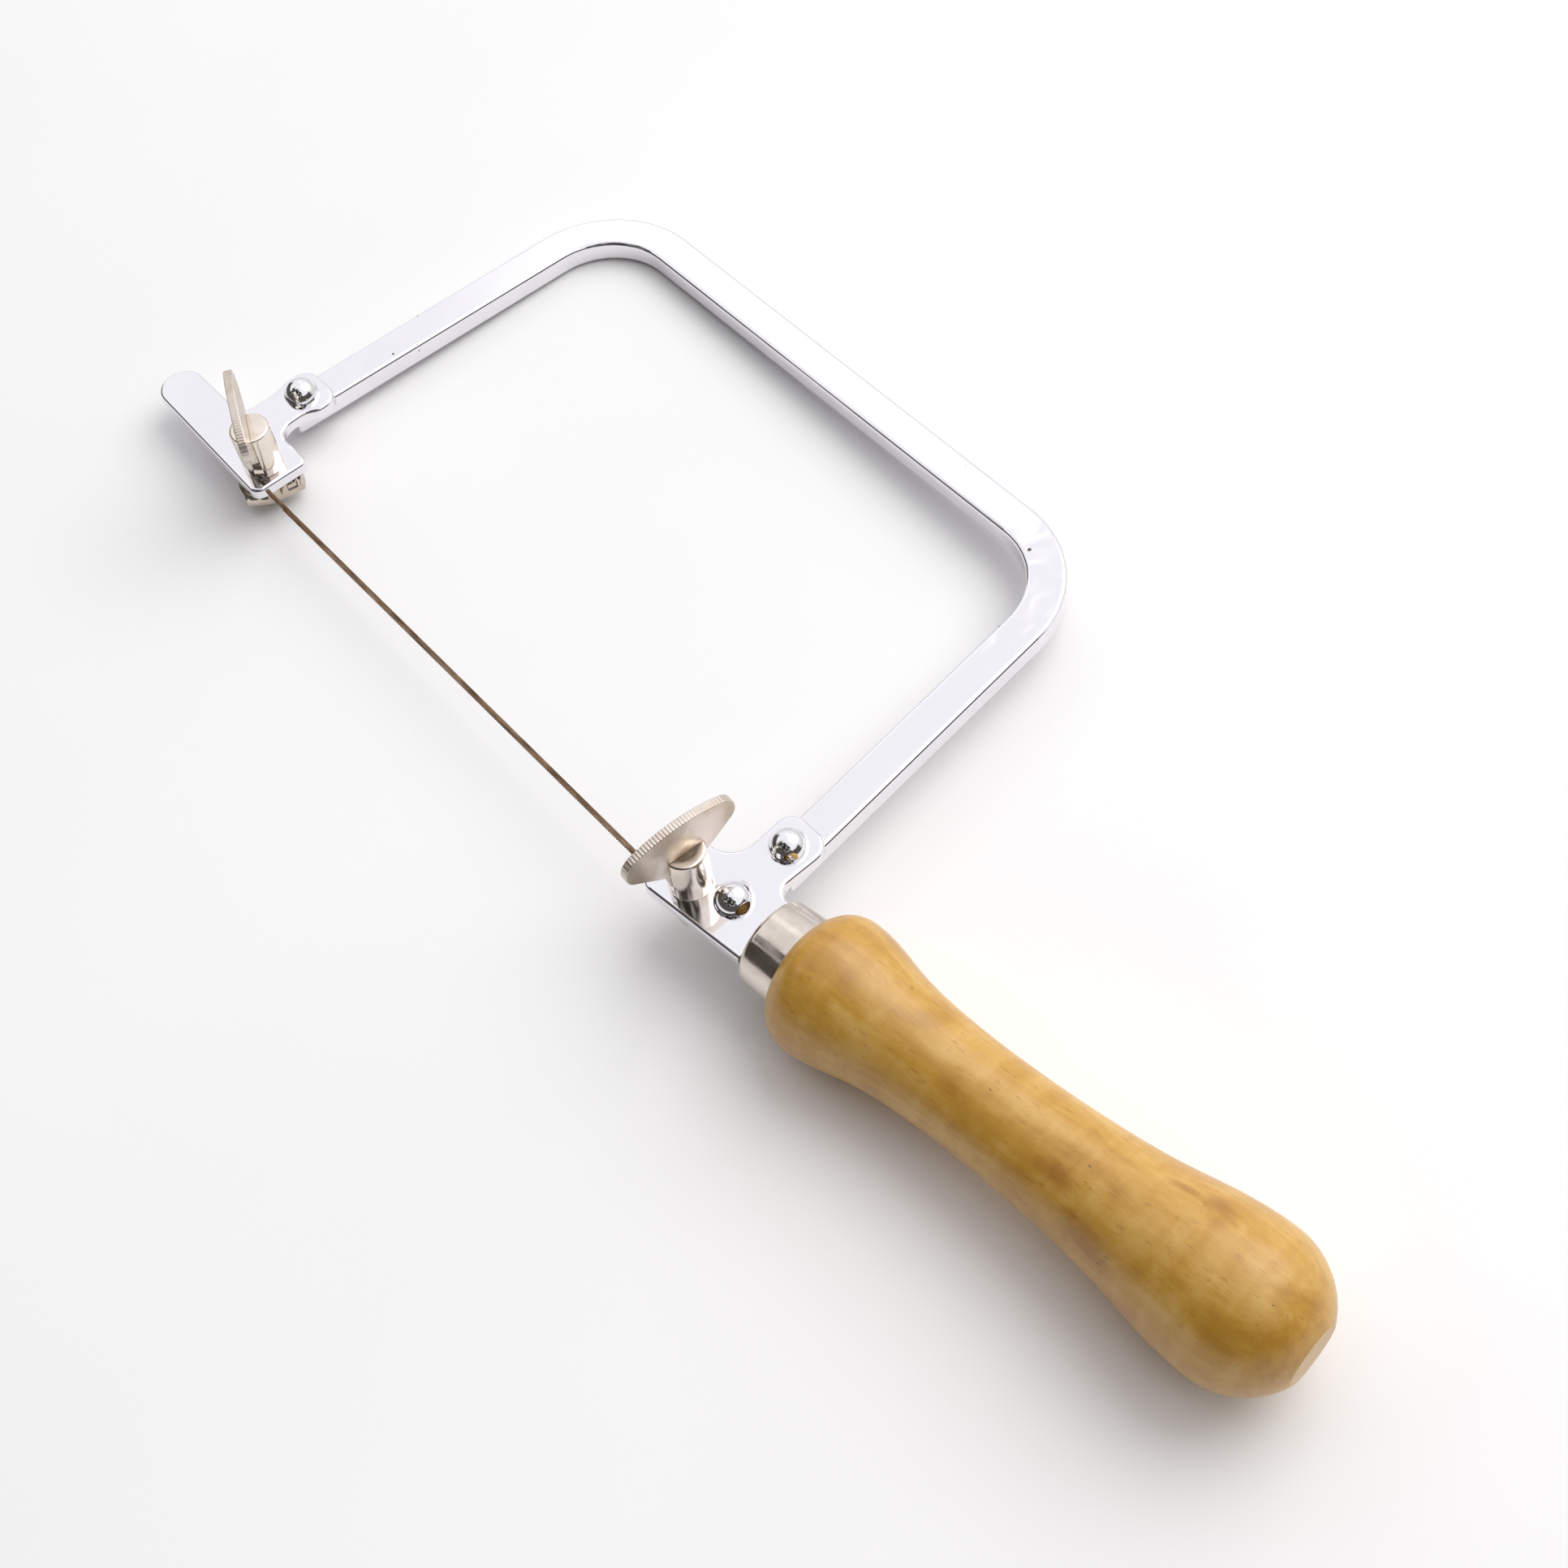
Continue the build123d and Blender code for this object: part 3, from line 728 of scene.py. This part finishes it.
for end, screw in SCREWS.items():
    turn = WING_TURNS[end]
    post = slotted_post(f"{end}_turned_post", f"{end}_thumbscrew_post", screw,
                        f"{end}_thumb_wing", turn)
    stud = threaded_stud(f"{end}_turned_stud", f"{end}_thumbscrew_post", screw)
    wing = knurled_wing(f"{end}_knurled_wing", f"{end}_thumb_wing", turn)
    turned_nickel = nickel(f"{end}_turned_nickel", POST_NICKEL, 0.13, centre=screw)
    wing_nickel = nickel(f"{end}_wing_nickel", WING_NICKEL, 0.34, grain=(220, 220, 2600))
    paint(post, turned_nickel)
    paint(stud, turned_nickel)
    paint(wing, wing_nickel)
    for piece in (post, stud, wing):
        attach(piece, f"{end}_thumbscrew")
    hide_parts(f"{end}_thumbscrew_post")
    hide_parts(f"{end}_thumb_wing")

blade = toothed_blade()
paint(blade, blade_steel())
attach(blade, "frame")
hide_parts("saw_blade")


# ---------------------------------------------------------------- floor
FLOOR_HALF_SIZE = 2.5
FLOOR_GAP = 0.00005


def rest_plane():
    """Lowest point and normal of the plane the saw lies on: handle, toe stud and bow touch it."""
    supports = []
    for name in ("handle", "toe_thumbscrew_post", "frame_bow"):
        place = nodes[name].matrix_world
        supports.append([place @ v.co for v in nodes[name].data.vertices])
    normal = Vector((0, 0, 1))
    for _ in range(6):
        a, b, c = (min(points, key=normal.dot) for points in supports)
        normal = (b - a).cross(c - a).normalized()
        if normal.z < 0:
            normal = -normal
    lowest = min((min(points, key=normal.dot) for points in supports), key=normal.dot)
    return lowest, normal


def pale_floor():
    """Matt white, very slightly uneven in tone."""
    s = Shader("pale_floor", (0.94, 0.94, 0.94), 0.0, 0.6)
    soft = s.between(s.noise(s.place, 9, 3.0), 0.3, 0.7)
    s.feed("Base Color", s.mix(soft, (0.93, 0.93, 0.93), (0.95, 0.95, 0.948)))
    s.set("Specular IOR Level", 0.15)
    return s.mat


lowest, up = rest_plane()
bm = bmesh.new()
bmesh.ops.create_grid(bm, x_segments=1, y_segments=1, size=FLOOR_HALF_SIZE)
floor = make_object("floor", bm)
floor.matrix_world = (Matrix.Translation(lowest - up * FLOOR_GAP)
                      @ up.to_track_quat("Z", "Y").to_matrix().to_4x4())
paint(floor, pale_floor())


# ---------------------------------------------------------------- room and light
LOW_WALL = (0.66, 0.64, 0.63)
CEILING = (1.02, 1.01, 1.04)
PANEL_WHITE = (1.30, 1.30, 1.31)
NEAR_DARK = (0.030, 0.026, 0.023)
NEAR_LIT = (0.42, 0.41, 0.41)
DIM_BAND = (0.085, 0.078, 0.075)
BACKDROP = (0.92, 0.92, 0.92)
PANEL_SIDE = (-0.565, 0.408, 0.715)
NEAR_SIDE = (0.22, -0.84, 0.50)
NEAR_TABLE_SIDE = (0.34, -0.94, 0.0)
WINDOW_PLACE = Vector((0.115, 0.645, 0.945))


def studio_world():
    """White room, dark on the near side, with a soft white panel beyond the saw."""
    world = bpy.data.worlds.new("studio")
    bpy.context.scene.world = world
    world.use_nodes = True
    world.node_tree.nodes.clear()
    w = Nodes(world.node_tree)
    where = w.node("ShaderNodeTexCoord").outputs["Generated"]

    def cosine(direction):
        """Cosine of the angle between the way a ray goes and a direction."""
        return w.vector_math("DOT_PRODUCT", where, Vector(direction).normalized())["Value"]

    def toward(direction, low, high):
        """Rises from 0 to 1 as that cosine goes from low to high."""
        return w.between(cosine(direction), low, high)

    room = w.mix(toward((0, 0, 1), -0.1, 0.60), LOW_WALL, CEILING)
    room = w.mix(toward(PANEL_SIDE, 0.9885, 0.9965), room, PANEL_WHITE)
    # Near side: the dark end of the room, its edge broken by what stands there.
    clutter = w.math("MULTIPLY", w.noise(where, 4.2), 0.55)
    dark = w.between(w.math("ADD", clutter, cosine(NEAR_SIDE)), 0.92, 1.00)
    stands = w.between(w.noise(where, 5.5, 1.5), 0.46, 0.66)
    room = w.mix(dark, room, w.mix(stands, NEAR_DARK, NEAR_LIT))
    # The room is dim low down all round the near side, beyond the white table.
    low_band = w.math("MULTIPLY", toward((0, 0, -1), -0.58, -0.44),
                      toward(NEAR_TABLE_SIDE, -0.44, -0.24))
    room = w.mix(low_band, room, DIM_BAND)
    # Seen directly, past the edge of the floor, the room is one pale backdrop.
    seen = w.node("ShaderNodeLightPath").outputs["Is Camera Ray"]
    room = w.mix(seen, room, BACKDROP)
    back = w.node("ShaderNodeBackground", Color=room, Strength=1.0)
    w.node("ShaderNodeOutputWorld", Surface=back.outputs[0])


def far_window():
    """Large round lamp, high up beyond the saw, aimed at the origin."""
    data = bpy.data.lights.new("far_window", "AREA")
    data.shape = "DISK"
    data.size = 1.15
    data.energy = 7.5
    data.color = (1.0, 0.985, 0.965)
    light = bpy.data.objects.new("far_window", data)
    bpy.context.scene.collection.objects.link(light)
    light.location = WINDOW_PLACE
    light.rotation_euler = (-WINDOW_PLACE).to_track_quat("-Z", "Y").to_euler()


studio_world()
far_window()


# ---------------------------------------------------------------- camera
CAMERA_FROM_TOE_SCREW = Vector((302.76, -93.23, 322.83)) * MM
CAMERA_RIGHT = Vector((0.65245, 0.75251, -0.08969))
CAMERA_UP = Vector((-0.60054, 0.58558, 0.54446))
CAMERA_BACK = Vector((0.46223, -0.30137, 0.83398))

camera_data = bpy.data.cameras.new("camera")
camera_data.lens = 53.1
camera_data.sensor_width = 36.0
camera = bpy.data.objects.new("camera", camera_data)
bpy.context.scene.collection.objects.link(camera)
camera.matrix_world = (Matrix.Translation(toe_screw + CAMERA_FROM_TOE_SCREW)
                       @ Matrix((CAMERA_RIGHT, CAMERA_UP, CAMERA_BACK)).transposed().to_4x4())
bpy.context.scene.camera = camera
bpy.context.scene.view_settings.view_transform = "Standard"
